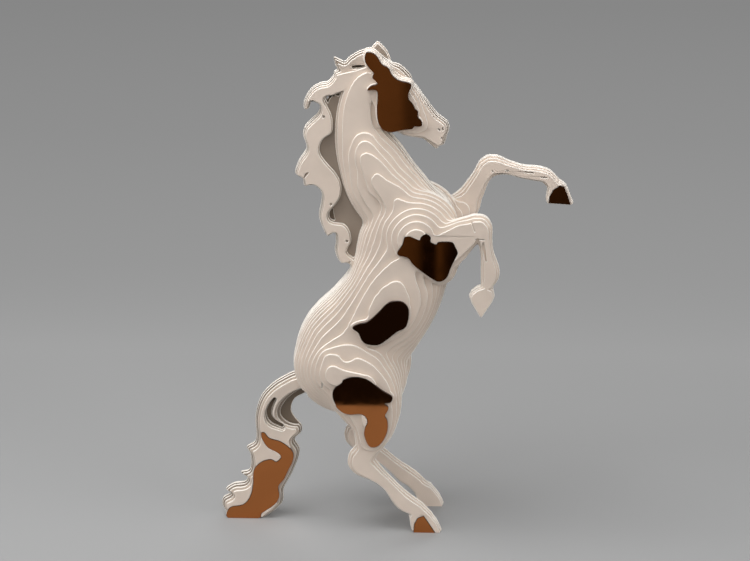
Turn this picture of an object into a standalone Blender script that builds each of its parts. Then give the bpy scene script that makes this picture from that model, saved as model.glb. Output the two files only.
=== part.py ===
"""A rearing horse built up from flat sheets of painted board, with mirror plates as its dark patches.

The frame: X runs forward, the way the horse faces, Y to its left and Z up. The origin is on the
ground, under the middle of the horse's length and width. Lengths are metres. The figure itself is
drawn in shares of its height: one unit is a six-hundredth of the height, so a millimetre at this size.
"""

import math

import bmesh
import bpy
import numpy as np
from mathutils.geometry import tessellate_polygon

# Driving dimensions.
HEIGHT = 0.600
SHEET_THICKNESS = 0.0037
MIRROR_THICKNESS = 0.0037
GLUE_LINE = 0.0003
PLATE_CLEARANCE = 0.0004

# The figure's own unit, and what follows from the sheets. The figure is drawn for sheets that lie a
# slice of four units apart, so thicker board makes a wider horse of as many sheets.
UNIT = HEIGHT / 600.0
PITCH = SHEET_THICKNESS + GLUE_LINE
SLICE = 4.0

# How finely the outlines are traced, in units.
CELL = 2.0
OUTLINE_TOLERANCE = 1.35
PATCH_TOLERANCE = 0.5
SMALLEST_ISLAND = 200.0
CURVE_STEPS = 3

# How the limbs run into each other, in units.
FLESH_BLEND = 7.0
LOCK_BLEND = 2.0
SECTION_FULLNESS = 2.4
MOUND_FULLNESS = 1.35
HOLLOW_FULLNESS = 1.3
LEG_TAPER = 0.55
REACH = 24.0
FAR_AWAY = 80.0

# Paint and mirror, as the row's linear colours.
PAINT = (0.66, 0.60, 0.53)
BRONZE = (0.56, 0.20, 0.063)

# Limbs are strings of rounds. A row is x, z, radius, half width and the place of its middle in y.
# These flow into each other as the torso.
TORSO = {
    "trunk": [
        (54, 384, 42, 31, 0), (38, 362, 56, 38, 0), (32, 328, 58, 46, 0), (20, 292, 59, 50, 0),
        (-4, 256, 62, 47, 0), (-26, 228, 66, 45, 0), (-34, 206, 65, 45, 0),
    ],
    "neck": [
        (34, 398, 46, 29, 0), (10, 430, 45, 27, 0), (-2, 454, 41, 24, 0), (-14, 479, 34, 20, 0),
        (-20, 503, 28, 19, 0), (-20, 528, 24, 19, 0), (-15, 552, 20, 18, 0), (-6, 568, 13, 16, 0),
    ],
    "throat": [
        (36, 402, 30, 39, 0), (24, 422, 27, 36, 0), (10, 442, 26, 33, 0), (-5, 464, 24, 29, 0),
        (-11, 484, 21, 24, 0),
    ],
    "right_thigh": [
        (-24, 204, 52, 30, -26), (-8, 172, 42, 24, -32), (0, 146, 29, 19, -38), (-3, 122, 19, 15, -40),
    ],
    "left_thigh": [
        (-18, 206, 52, 30, 26), (2, 180, 38, 24, 32), (2, 148, 27, 19, 38), (-14, 122, 18, 15, 40),
    ],
    "right_arm": [
        (84, 364, 29, 18, -33), (104, 379, 19, 14, -38),
    ],
    "left_arm": [
        (66, 380, 33, 20, 30), (86, 381, 22, 18, 33), (107, 393, 17, 14, 38),
    ],
}

# Mounds of muscle, whose sides slope more evenly than a limb's.
MOUNDS = {
    "right_shoulder": [(50, 376, 54, 34, -22), (62, 354, 42, 32, -23)],
    "left_shoulder": [(50, 378, 52, 34, 22), (60, 358, 42, 32, 22)],
    "right_haunch": [(-46, 206, 50, 40, -20), (-12, 196, 52, 40, -20)],
    "left_haunch": [(-34, 206, 58, 40, 20), (-6, 200, 50, 38, 20)],
}

HEAD = [(8, 562, 20, 18, 0), (26, 532, 29, 26, 0), (41, 516, 25, 21, 0), (54, 507, 19, 17, 0)]

# The lower legs, whose few sheets are almost alike.
LEGS = {
    "right_foreleg": [
        (104, 379, 19, 12, -38), (124, 390, 15.5, 12, -38), (131, 374, 9.5, 12, -38),
        (134, 357, 8.5, 12, -38), (138, 334, 12, 12, -38), (135, 320, 8.5, 12, -38),
    ],
    "left_foreleg": [
        (107, 393, 17, 12, 38), (118, 413, 14, 12, 38), (127, 430, 11.5, 12, 38),
        (138, 443, 14, 12, 38), (158, 441, 9, 12, 38), (176, 436, 8.5, 12, 38),
        (192, 434, 9.5, 12, 38), (204, 431, 9, 12, 38), (213, 422, 9, 12, 38),
    ],
    "right_hind_leg": [
        (-3, 122, 18, 12, -40), (-8, 106, 14, 12, -40), (-15, 90, 17, 12, -40), (-1, 77, 12, 12, -40),
        (10, 68, 9.5, 12, -40), (21, 57, 9, 12, -40), (33, 42, 11.5, 12, -40), (41, 35, 12, 12, -40),
        (53, 28, 10, 12, -40), (62, 17, 11, 12, -40),
    ],
    "left_hind_leg": [
        (-14, 122, 17, 12, 40), (-22, 104, 13, 12, 40), (-25, 90, 14, 12, 40), (-8, 76, 11, 12, 40),
        (8, 64, 9.5, 12, 40), (22, 52, 9.5, 12, 40), (36, 40, 11.5, 12, 40), (47, 32, 11, 12, 40),
        (60, 18, 11, 12, 40),
    ],
}

# The thin inner sheets that join the mane to the crest of the neck.
MANE_ROOT = [
    (-46, 530, 10, 6, 0), (-50, 512, 9, 6, 0), (-54, 496, 11, 6, 0),
    (-56, 478, 13, 6, 0), (-48, 456, 13, 6, 0), (-38, 436, 13, 6, 0), (-34, 418, 15, 6, 0),
    (-34, 398, 19, 6, 0), (-30, 380, 17, 6, 0), (-26, 364, 12, 6, 0), (-24, 340, 11, 6, 0),
]

# Flat forms: half width, the place of the middle in y, how far the edge rounds in, and corners.
FLAT_FORMS = {
    "muzzle": (16, 0, 7, [
        (30, 530), (44, 536), (57, 538), (66, 527), (74, 517), (82, 511), (86, 507), (88, 500), (86, 493),
        (84, 486), (82, 480), (76, 477), (73, 474), (68, 477), (61, 483), (54, 488), (43, 491), (30, 494),
    ]),
    "mane": (14, 0, 5, [
        (-10, 574), (-44, 569), (-49, 562), (-55, 555), (-64, 553), (-73, 548), (-80, 539), (-84, 529),
        (-83, 521), (-78, 522), (-75, 530), (-69, 529), (-65, 525), (-67, 517), (-76, 508), (-83, 500),
        (-85, 489), (-81, 474), (-90, 459), (-95, 443), (-86, 436),
        (-84, 427), (-73, 428), (-64, 420), (-64, 408), (-67, 391), (-63, 376), (-57, 365), (-48, 369),
        (-47, 358), (-48, 346), (-42, 332), (-31, 330), (-25, 314), (-20, 322), (-22, 339), (-31, 348),
        (-26, 360), (-28, 374), (-36, 384), (-51, 387), (-53, 396), (-44, 406), (-38, 418), (-38, 433),
        (-45, 447), (-57, 461), (-63, 472), (-60, 484), (-49, 493), (-47, 505), (-49, 517), (-54, 528),
        (-57, 536), (-48, 538), (-38, 542), (-8, 550),
    ]),
    "forelock": (10, 0, 5, [
        (-48, 584), (-41, 581), (-35, 579), (-29, 585), (-14, 593), (2, 591), (18, 578), (26, 577),
        (36, 570), (43, 557), (20, 545), (-16, 545), (-38, 560), (-44, 570), (-47, 577),
    ]),
    "left_ear": (8, 12, 4, [
        (-9, 582), (-5, 592), (1, 599), (3, 600), (7, 597), (14, 589), (18, 577), (12, 562), (-4, 562),
    ]),
    "tail": (14, 0, 8, [
        (-86, 186), (-97, 191), (-112, 184), (-125, 175), (-137, 162), (-144, 146), (-147, 128),
        (-146, 110), (-148, 98), (-158, 91), (-154, 82), (-153, 70), (-156, 60), (-166, 57),
        (-158, 50), (-162, 44), (-175, 42), (-185, 34), (-179, 29), (-188, 23), (-190, 14),
        (-186, 5), (-182, -6), (-143, -6), (-130, 2), (-121, 10), (-114, 20), (-113, 36), (-103, 56),
        (-95, 76), (-93, 90), (-99, 102), (-91, 111), (-90, 120), (-98, 130), (-103, 141),
        (-98, 156), (-80, 168),
    ]),
}

HOOVES = {
    "right_fore_hoof": (12, -38, 3, [
        (113, 304), (116, 310), (122, 315), (131, 318), (142, 314), (144, 304), (141, 296), (129, 277),
        (126, 278), (116, 295),
    ]),
    "left_fore_hoof": (12, 38, 3, [
        (204, 402), (206, 418), (210, 425), (222, 426), (229, 420), (238, 398), (236, 396), (206, 397),
    ]),
    "right_hind_hoof": (12, -40, 3, [
        (43, 19), (45, 6), (48, -6), (82, -6), (84, 0), (77, 14), (67, 26), (56, 32), (46, 26),
    ]),
    "left_hind_hoof": (12, 40, 3, [
        (49, 15), (52, 4), (54, -6), (84, -6), (85, 2), (80, 13), (70, 26), (60, 31), (51, 24),
    ]),
}

# Hollows in both faces of the tail, between its locks: rows as for the limbs.
TAIL_HOLLOWS = {
    "inner": [
        (-84, 170, 6, 14, 14), (-96, 161, 10, 14, 14), (-106, 149, 13, 14, 14), (-110, 137, 13, 14, 14),
        (-101, 127, 8, 14, 14), (-88, 125, 4, 14, 14),
    ],
    "outer": [
        (-122, 158, 3, 14, 14), (-127, 149, 5, 14, 14), (-130, 138, 6, 14, 14), (-126, 128, 7, 14, 14),
        (-114, 121, 5, 14, 14),
    ],
}

# Muscles and hollows of the trunk: x, z, reach, and how far it stands out sideways.
MUSCLES = [
    (22, 404, 20, -1.0), (-6, 352, 20, -2.0), (66, 326, 17, -4.0), (26, 230, 18, -4.0),
    (-6, 236, 16, -3.0), (-60, 240, 22, 2.5), (16, 190, 20, 2.0), (-20, 470, 15, 1.6),
    (-8, 436, 15, 2.2), (24, 450, 14, -2.0), (-58, 230, 10, 2.0), (-31, 226, 10, -3.5),
]
MUSCLE_STEP = 2.0
MUSCLE_ONSET = 12.0

# Mirror plates: the place of the middle in y, which way the face looks, how much wider each sheet
# under the plate is, how many such sheets, and corners.
RIGHT, LEFT = -1, 1
PATCHES = {
    "right_cheek": (-24, RIGHT, 0.9, 3, [
        (-9, 595), (-1, 594), (4, 589), (9, 581), (16, 577), (21, 568), (29, 562), (41, 559), (43, 555),
        (40, 547), (40, 540), (45, 534), (48, 528), (51, 525), (51, 518), (55, 514), (56, 509), (53, 507),
        (47, 507), (44, 504), (35, 503), (26, 501), (21, 500), (14, 501), (8, 505), (4, 514),
        (3, 528), (4, 547), (-1, 551), (-8, 550), (-4, 555), (4, 558), (-2, 565), (-1, 571), (-7, 578),
        (-11, 586),
    ]),
    "right_shoulder": (-48, RIGHT, 2.4, 4, [
        (28, 360), (34, 369), (37, 379), (44, 380), (54, 376), (56, 380), (61, 383), (67, 379), (67, 373),
        (74, 370), (77, 373), (92, 373), (96, 367), (99, 360), (96, 353), (91, 341), (87, 330), (81, 325),
        (74, 325), (59, 335), (47, 345), (42, 352), (36, 355), (30, 356),
    ]),
    "right_flank": (-52, RIGHT, 2.4, 3, [
        (-25, 266), (-18, 271), (-7, 274), (5, 285), (15, 296), (23, 300), (35, 299), (42, 289), (39, 269),
        (28, 262), (15, 251), (5, 245), (-8, 246), (-14, 251), (-18, 260),
    ]),
    "right_haunch": (-56, RIGHT, 2.0, 5, [
        (-49, 184), (-46, 191), (-38, 197), (-36, 201), (-29, 204), (-20, 205), (-10, 203), (-3, 199),
        (11, 188), (21, 182), (23, 178), (20, 173), (13, 172), (18, 167), (17, 162), (14, 156), (17, 149),
        (17, 137), (13, 126), (6, 117), (-2, 115), (-7, 119), (-11, 131), (-10, 140), (-7, 147), (-9, 154),
        (-16, 158), (-27, 157), (-36, 159), (-44, 166), (-45, 169), (-48, 176),
    ]),
    "right_hind_hoof": (-48, RIGHT, 1.0, 1, [(49, 0), (50, 11), (54, 19), (61, 22), (67, 13), (75, 0)]),
    "left_fore_hoof": (28, RIGHT, 1.0, 1, [
        (208, 400), (209, 408), (213, 416), (220, 421), (226, 420), (230, 409), (234, 398),
    ]),
    "tail": (-12, RIGHT, 0.5, 1, [
        (-139, 114), (-135, 114), (-129, 107), (-116, 103), (-105, 95), (-100, 87), (-101, 77), (-107, 64),
        (-112, 53), (-119, 43), (-118, 30), (-124, 19), (-140, 7), (-145, 0), (-182, 0), (-179, 14),
        (-163, 18), (-154, 29), (-150, 46), (-149, 64), (-140, 75), (-128, 79), (-121, 76), (-115, 82),
        (-119, 88), (-131, 95), (-138, 106),
    ]),
    "left_cheek": (24, LEFT, 0.9, 3, [
        (0, 548), (12, 560), (28, 556), (42, 540), (46, 522), (34, 508), (14, 508), (4, 524),
    ]),
    "left_shoulder": (48, LEFT, 2.4, 4, [
        (30, 366), (46, 384), (68, 388), (86, 378), (84, 356), (66, 342), (44, 346),
    ]),
    "left_flank": (52, LEFT, 2.4, 3, [
        (-22, 264), (-8, 284), (14, 296), (34, 288), (28, 268), (8, 250), (-12, 250),
    ]),
    "left_haunch": (56, LEFT, 2.0, 4, [
        (-56, 196), (-40, 212), (-14, 212), (6, 196), (10, 176), (-8, 162), (-36, 164),
    ]),
}
STRAIGHT_PATCHES = ("right_hind_hoof", "left_fore_hoof")

# Where an island of a sheet lies, for its name.
LANDMARKS = {
    "head": (20, 530), "ear": (0, 588), "shoulder": (60, 368), "flank": (10, 275), "haunch": (-24, 190),
    "foreleg": (134, 350), "raised_foreleg": (180, 436), "hind_leg": (14, 70), "hoof": (64, 12),
    "tail": (-130, 80), "tail_end": (-170, 26), "mane": (-70, 450), "thigh": (4, 140), "neck": (-12, 470),
}


def smooth_curve(rows, closed):
    """Rows along a smooth curve through the given rows."""
    rows = np.array(rows, float)
    if closed:
        ring = np.vstack([rows[-1:], rows, rows[:2]])
    else:
        ring = np.vstack([2 * rows[:1] - rows[1:2], rows, 2 * rows[-1:] - rows[-2:-1]])
    out = []
    for before, start, end, after in zip(ring, ring[1:], ring[2:], ring[3:]):
        for t in np.arange(CURVE_STEPS) / CURVE_STEPS:
            out.append(0.5 * (2 * start + (end - before) * t
                              + (2 * before - 5 * start + 4 * end - after) * t ** 2
                              + (3 * start - before - 3 * end + after) * t ** 3))
    if not closed:
        out.append(rows[-1])
    return np.array(out)


def window(grid, low_x, high_x, low_z, high_z):
    """The slice of the grid around a box, with room for the blends."""
    xs, zs = grid[0][:, 0], grid[1][0]
    x_first, x_last = np.searchsorted(xs, [low_x - REACH, high_x + REACH])
    z_first, z_last = np.searchsorted(zs, [low_z - REACH, high_z + REACH])
    return slice(x_first, x_last), slice(z_first, z_last)


def distance_to_edge(x, z, start, end):
    """Distance to a straight edge, and how far along it the nearest place is."""
    run_x, run_z = end[0] - start[0], end[1] - start[1]
    along = np.clip(((x - start[0]) * run_x + (z - start[1]) * run_z) / (run_x ** 2 + run_z ** 2), 0, 1)
    return np.hypot(x - start[0] - along * run_x, z - start[1] - along * run_z), along


def string_field(stations, radius, grid):
    """Distance to the outline around a string of rounds, below zero inside."""
    field = np.full(grid[0].shape, FAR_AWAY)
    if radius.max() < -REACH:
        return field
    widest = stations[:, 2].max()
    part = window(grid, stations[:, 0].min() - widest, stations[:, 0].max() + widest,
                  stations[:, 1].min() - widest, stations[:, 1].max() + widest)
    x, z = grid[0][part], grid[1][part]
    nearest = np.full(x.shape, FAR_AWAY)
    for start, end, start_radius, end_radius in zip(stations, stations[1:], radius, radius[1:]):
        if max(start_radius, end_radius) > -REACH:
            away, along = distance_to_edge(x, z, start, end)
            nearest = np.minimum(nearest, away - start_radius - (end_radius - start_radius) * along)
    field[part] = nearest
    return field


def limb_field(rows, y, grid, fullness=SECTION_FULLNESS):
    """A limb in the plane at y. Its radius goes on below zero beyond its half width."""
    stations = smooth_curve(rows, closed=False)
    share = 1.0 - (np.abs(y - stations[:, 4]) / stations[:, 3]) ** fullness
    return string_field(stations, stations[:, 2] * np.sign(share) * np.abs(share) ** (1.0 / fullness), grid)


def leg_field(rows, y, grid):
    """A lower leg in the plane at y. It tapers little, and ends flat on both sides."""
    stations = smooth_curve(rows, closed=False)
    share = np.abs(y - stations[:, 4]) / stations[:, 3]
    radius = np.where(share < 1, stations[:, 2] * (1 - LEG_TAPER * share ** 1.2), -FAR_AWAY)
    return string_field(stations, radius, grid)


def outline_field(ring, grid):
    """Distance to a closed outline, below zero inside."""
    field = np.full(grid[0].shape, FAR_AWAY)
    part = window(grid, *(limit for axis in ring.T for limit in (axis.min(), axis.max())))
    x, z = grid[0][part], grid[1][part]
    nearest = np.full(x.shape, FAR_AWAY)
    inside = np.zeros(x.shape, bool)
    for start, end in zip(ring, np.roll(ring, -1, axis=0)):
        nearest = np.minimum(nearest, distance_to_edge(x, z, start, end)[0])
        if start[1] != end[1]:
            crosses = (start[1] > z) != (end[1] > z)
            inside ^= crosses & (x < start[0] + (z - start[1]) * (end[0] - start[0]) / (end[1] - start[1]))
    field[part] = np.where(inside, -nearest, nearest)
    return field


def blend(first, second, reach):
    """Union of two fields, with a fillet where they meet."""
    dip = np.clip(reach - np.abs(first - second), 0, None) / reach
    return np.minimum(first, second) - dip ** 2 * reach / 4


def muscle_relief(grid):
    """How far the muscles stand out of the trunk, sideways."""
    relief = np.zeros(grid[0].shape)
    for x, z, reach, height in MUSCLES:
        relief += height * np.exp(-((grid[0] - x) ** 2 + (grid[1] - z) ** 2) / reach ** 2)
    return relief


def smooth_torso(y, grid):
    """The trunk, neck, thighs and arms in the plane at y, before their muscles."""
    fields = [limb_field(rows, y, grid) for rows in TORSO.values()]
    fields += [limb_field(rows, y, grid, MOUND_FULLNESS) for rows in MOUNDS.values()]
    torso = fields[0]
    for field in fields[1:]:
        torso = blend(torso, field, FLESH_BLEND)
    return torso


def torso_field(y, grid, relief):
    """The torso with its muscles, which bring in the outline of a plane nearer or farther out."""
    outward = MUSCLE_STEP if y >= 0 else -MUSCLE_STEP
    here = smooth_torso(y, grid)
    inner = smooth_torso(y - outward, grid)
    outer = smooth_torso(y + outward, grid)
    share = relief / MUSCLE_STEP * min(1.0, abs(y) / MUSCLE_ONSET)
    return here + np.where(share > 0, (inner - here) * share, (here - outer) * share)


def flat_inset(y, half_width, middle, rounding):
    """How far in the edge of a flat form lies in the plane at y, or None beside the form."""
    share = abs(y - middle) / half_width
    if share >= 1:
        return None
    return rounding * share ** 1.4


def patch_ring(name):
    """A mirror plate's outline."""
    corners = PATCHES[name][4]
    if name in STRAIGHT_PATCHES:
        return np.array(corners, float)
    ring = np.maximum(smooth_curve(corners, closed=True), (-math.inf, 0.0))
    return simplified(ring, PATCH_TOLERANCE)


def sheet_index(y):
    """Number of the sheet that a place in y falls in."""
    return round(y / SLICE)


class Horse:
    """The figure, ready to be cut at any plane."""

    def __init__(self):
        xs = np.arange(-210, 256, CELL)
        zs = np.arange(-3 * CELL, 616, CELL)
        self.start = (xs[0], zs[0])
        self.grid = np.meshgrid(xs, zs, indexing="ij")
        self.relief = muscle_relief(self.grid)
        self.flats = {n: outline_field(smooth_curve(f[3], True), self.grid) for n, f in FLAT_FORMS.items()}
        self.hooves = {n: outline_field(np.array(f[3], float), self.grid) for n, f in HOOVES.items()}
        self.patches = {n: outline_field(patch_ring(n), self.grid) for n in PATCHES}

    def flesh(self, y):
        """Torso, head, legs and hooves in the plane at y."""
        field = torso_field(y, self.grid, self.relief)
        field = blend(field, limb_field(HEAD, y, self.grid), FLESH_BLEND)
        for rows in LEGS.values():
            field = blend(field, leg_field(rows, y, self.grid), FLESH_BLEND)
        for name, (half_width, middle, rounding, _) in HOOVES.items():
            inset = flat_inset(y, half_width, middle, rounding)
            if inset is not None:
                field = blend(field, self.hooves[name] + inset, LOCK_BLEND)
        return field

    def hair(self, field, y):
        """Adds muzzle, mane, forelock, ear and tail, and cuts the tail's hollows."""
        field = blend(field, limb_field(MANE_ROOT, y, self.grid), LOCK_BLEND)
        for name, (half_width, middle, rounding, _) in FLAT_FORMS.items():
            inset = flat_inset(y, half_width, middle, rounding)
            if inset is not None:
                field = blend(field, self.flats[name] + inset, LOCK_BLEND)
        for rows in TAIL_HOLLOWS.values():
            field = np.maximum(field, -limb_field(rows, abs(y), self.grid, HOLLOW_FULLNESS))
        return field

    def seats(self, field, index):
        """Builds up the sheets under each mirror plate, and clears the plate's own layer."""
        clearance = PLATE_CLEARANCE / UNIT + OUTLINE_TOLERANCE
        for name, (y, facing, spread, count, _) in PATCHES.items():
            below = (sheet_index(y) - index) * facing
            if 1 <= below <= count:
                field = blend(field, self.patches[name] - spread * below, LOCK_BLEND)
            elif below <= 0 and facing * index > facing * sheet_index(y) - 1:
                field = np.maximum(field, clearance - self.patches[name])
        return field

    def sheet(self, index):
        """The field of one whole sheet, cut flat at the ground."""
        y = index * SLICE
        field = self.hair(self.flesh(y), y)
        return np.maximum(self.seats(field, index), -self.grid[1])


# The edge pairs that an outline joins in each of the sixteen cases of a grid cell.
# Edges are numbered 0 below, 1 right, 2 above and 3 left, and the inside lies on the left.
CELL_CASES = {
    1: [(0, 3)], 2: [(1, 0)], 3: [(1, 3)], 4: [(2, 1)], 5: [(0, 3), (2, 1)], 6: [(2, 0)], 7: [(2, 3)],
    8: [(3, 2)], 9: [(0, 2)], 10: [(1, 0), (3, 2)], 11: [(1, 2)], 12: [(3, 1)], 13: [(0, 1)], 14: [(3, 0)],
}


def trace(field, start):
    """Closed outlines where the field crosses zero, anticlockwise around the inside."""
    inside = field < 0
    cases = inside[:-1, :-1] + 2 * inside[1:, :-1] + 4 * inside[1:, 1:] + 8 * inside[:-1, 1:]
    following = {}
    places = {}
    for i, j in zip(*np.nonzero((cases > 0) & (cases < 15))):
        edges = [
            ((i, j), (i + 1, j)), ((i + 1, j), (i + 1, j + 1)),
            ((i, j + 1), (i + 1, j + 1)), ((i, j), (i, j + 1)),
        ]
        for first, second in CELL_CASES[cases[i, j]]:
            following[edges[first]] = edges[second]
    for low, high in following:
        share = field[low] / (field[low] - field[high])
        places[low, high] = (
            start[0] + (low[0] + (high[0] - low[0]) * share) * CELL,
            start[1] + (low[1] + (high[1] - low[1]) * share) * CELL,
        )
    rings = []
    while following:
        edge = next(iter(following))
        ring = []
        while edge in following:
            ring.append(places[edge])
            edge = following.pop(edge)
        rings.append(np.array(ring))
    return rings


def ring_area(ring):
    """Area inside a closed ring, below zero for a hole."""
    x, z = ring.T
    return 0.5 * float(np.sum(x * np.roll(z, -1) - z * np.roll(x, -1)))


def simplified(ring, tolerance):
    """The ring with only the corners that its shape needs, its highest one among them."""
    ring = np.roll(ring, -int(np.argmin(ring[:, 0])), axis=0)
    farthest = int(np.argmax(np.hypot(*(ring - ring[0]).T)))
    highest = int(np.argmax(ring[:, 1]))
    closed = np.vstack([ring, ring[:1]])
    kept = {0, farthest, highest}
    spans = list(zip(sorted(kept), [*sorted(kept)[1:], len(ring)]))
    while spans:
        first, last = spans.pop()
        if last - first < 2:
            continue
        between = closed[first + 1:last]
        away = distance_to_edge(between[:, 0], between[:, 1], closed[first], closed[last] + 1e-9)[0]
        middle = first + 1 + int(np.argmax(away))
        if away.max() > tolerance:
            kept.add(middle)
            spans += [(first, middle), (middle, last)]
    return ring[sorted(kept)]


def contains(ring, place):
    """Whether a place lies inside a ring."""
    inside = False
    for (ax, az), (bx, bz) in zip(ring, np.roll(ring, -1, axis=0)):
        if (az > place[1]) != (bz > place[1]) and place[0] < ax + (place[1] - az) * (bx - ax) / (bz - az):
            inside = not inside
    return inside


def islands(field, start):
    """The separate islands of a sheet, largest first, each as its outline and its holes."""
    rings = [ring for ring in trace(field, start) if abs(ring_area(ring)) > SMALLEST_ISLAND]
    rings = [simplified(ring, OUTLINE_TOLERANCE) for ring in rings]
    outers = sorted((ring for ring in rings if ring_area(ring) > 0), key=ring_area, reverse=True)
    holes = [ring for ring in rings if ring_area(ring) < 0]
    return [(outer, [hole for hole in holes if contains(outer, hole[0])]) for outer in outers]


def principled(name, colour, roughness, metallic):
    """A plain material."""
    material = bpy.data.materials.new(name)
    material.use_nodes = True
    shader = material.node_tree.nodes["Principled BSDF"]
    shader.inputs["Base Color"].default_value = (*colour, 1.0)
    shader.inputs["Roughness"].default_value = roughness
    shader.inputs["Metallic"].default_value = metallic
    return material


def plate(name, rings, middle_y, thickness, material):
    """A flat plate with the given outline and holes, centred on middle_y."""
    flat = [(x * UNIT, z * UNIT) for ring in rings for x, z in ring]
    triangles = tessellate_polygon([[(x, z, 0.0) for x, z in ring] for ring in rings])
    mesh = bpy.data.meshes.new(name)
    shape = bmesh.new()
    right = [shape.verts.new((x, middle_y - thickness / 2, z)) for x, z in flat]
    left = [shape.verts.new((x, middle_y + thickness / 2, z)) for x, z in flat]
    for corners in triangles:
        shape.faces.new([right[i] for i in corners])
        shape.faces.new([left[i] for i in reversed(corners)])
    first = 0
    for ring in rings:
        for i in range(len(ring)):
            a, b = first + i, first + (i + 1) % len(ring)
            shape.faces.new([right[a], left[a], left[b], right[b]])
        first += len(ring)
    bmesh.ops.recalc_face_normals(shape, faces=shape.faces)
    shape.to_mesh(mesh)
    shape.free()
    mesh.materials.append(material)
    solid = bpy.data.objects.new(name, mesh)
    bpy.context.collection.objects.link(solid)
    return solid


def sheet_name(index):
    """A sheet's name, counted outward from the centre."""
    if index == 0:
        return "centre_sheet"
    side = "right" if index < 0 else "left"
    return f"{side}_sheet_{abs(index):02d}"


def nearest_landmark(ring, taken):
    """The landmark nearest an island's middle that its sheet has not used."""
    middle = ring.mean(axis=0)
    free = [name for name in LANDMARKS if name not in taken]
    return min(free, key=lambda name: math.dist(LANDMARKS[name], middle))


def build_sheets(horse):
    """Every sheet, and the islands that a sheet falls apart into."""
    limbs = [*TORSO.values(), *MOUNDS.values()]
    half_widths = [abs(row[4]) + row[3] for rows in limbs for row in rows]
    reach = max(half_widths + [abs(patch[0]) for patch in PATCHES.values()])
    count = math.ceil(reach / SLICE)
    for index in range(-count, count + 1):
        taken = []
        for number, (outer, holes) in enumerate(islands(horse.sheet(index), horse.start)):
            name = sheet_name(index)
            if number > 0:
                taken.append(nearest_landmark(outer, taken))
                name = f"{name}_{taken[-1]}"
            paint = principled(f"{name}_paint", PAINT, 0.6, 0.0)
            plate(name, [outer, *holes], index * PITCH, SHEET_THICKNESS, paint)


def build_patches():
    """The mirror plates, each laid on the sheet below it."""
    for name, (y, facing, _, _, _) in PATCHES.items():
        seat = (sheet_index(y) - facing) * PITCH + facing * (SHEET_THICKNESS / 2 + GLUE_LINE)
        mirror = principled(f"{name}_mirror", BRONZE, 0.05, 1.0)
        middle = seat + facing * MIRROR_THICKNESS / 2
        plate(f"{name}_mirror_plate", [patch_ring(name)], middle, MIRROR_THICKNESS, mirror)


def centre_on_origin():
    """Moves the horse along X, so that the origin lies under the middle of its length."""
    bpy.context.view_layer.update()
    ends = [corner[0] for solid in bpy.data.objects for corner in solid.bound_box]
    for solid in bpy.data.objects:
        solid.location.x = -(min(ends) + max(ends)) / 2


def main():
    for old in list(bpy.data.objects):
        bpy.data.objects.remove(old, do_unlink=True)
    build_sheets(Horse())
    build_patches()
    centre_on_origin()


main()
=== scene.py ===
# %% [markdown]
# # A rearing horse, built up from flat sheets
#
# The real object is a small sculpture of a rearing horse. Its maker cut about
# thirty outlines from thin board, painted them cream and glued them side by
# side, so the edges step over the body like the lines of a map. Plates of
# bronze mirror make the dark patches of its coat.
#
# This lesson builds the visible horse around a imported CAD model. The CAD
# model has the same sheets with coarse outlines. Here each one is cut again
# with a finer line, a broken edge and a painted finish.

# %% Load the CAD model
import math

import bpy
import numpy as np
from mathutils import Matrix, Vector
from mathutils.geometry import tessellate_polygon


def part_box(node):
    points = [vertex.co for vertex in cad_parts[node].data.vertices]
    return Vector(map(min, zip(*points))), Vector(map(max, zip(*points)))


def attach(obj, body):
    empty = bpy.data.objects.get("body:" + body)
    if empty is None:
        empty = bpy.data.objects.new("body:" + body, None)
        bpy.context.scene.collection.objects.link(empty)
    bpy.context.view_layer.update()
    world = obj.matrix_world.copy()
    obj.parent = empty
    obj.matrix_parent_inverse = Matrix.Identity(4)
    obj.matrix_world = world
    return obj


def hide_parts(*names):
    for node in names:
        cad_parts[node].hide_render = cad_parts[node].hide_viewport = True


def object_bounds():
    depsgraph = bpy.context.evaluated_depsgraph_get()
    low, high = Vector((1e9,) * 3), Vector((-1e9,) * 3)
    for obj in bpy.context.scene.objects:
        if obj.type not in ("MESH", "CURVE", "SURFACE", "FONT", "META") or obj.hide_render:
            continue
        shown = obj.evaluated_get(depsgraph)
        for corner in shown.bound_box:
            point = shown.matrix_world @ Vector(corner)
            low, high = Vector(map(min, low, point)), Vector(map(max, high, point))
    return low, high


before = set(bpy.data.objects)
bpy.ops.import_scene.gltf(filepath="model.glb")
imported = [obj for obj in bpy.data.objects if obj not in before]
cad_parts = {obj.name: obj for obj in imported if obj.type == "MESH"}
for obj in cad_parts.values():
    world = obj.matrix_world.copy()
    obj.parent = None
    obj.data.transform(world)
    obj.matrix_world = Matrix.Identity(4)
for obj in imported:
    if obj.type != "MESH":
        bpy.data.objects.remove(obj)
cad_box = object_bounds()
print("CAD box in metres:", [[round(value, 4) for value in corner] for corner in cad_box])

# %% [markdown]
# ## The sheets
#
# The horse is drawn in units of one millimetre, with Z up and X forward. A
# sheet is 3.7 mm thick and the glue line beside it takes 0.3 mm, so a new
# sheet starts every 4 mm. The drawing has its own middle, so one number moves
# it along X to where the CAD model stands. That number is measured later, from
# a plate whose outline starts at a known place in the drawing.

# %% Sizes of the sheets
UNIT = 0.001
SHEET_THICKNESS = 3.7
GLUE_LINE = 0.3
PITCH = SHEET_THICKNESS + GLUE_LINE
EDGE_BREAK = 0.45

# %% [markdown]
# ## The body as strings of rounds
#
# A carver would start from a block. A sheet builder has to know the outline
# of the horse at every 4 mm of its width, so the body is described by numbers
# that can be cut at any plane. Each limb is a string of rounds: a place in
# the side view, a radius there, half its width, and the Y of its middle. An
# ellipse-like rule shrinks the round as the cutting plane moves off its
# middle. Metaballs could do this too, but they give no flat outlines.

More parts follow.
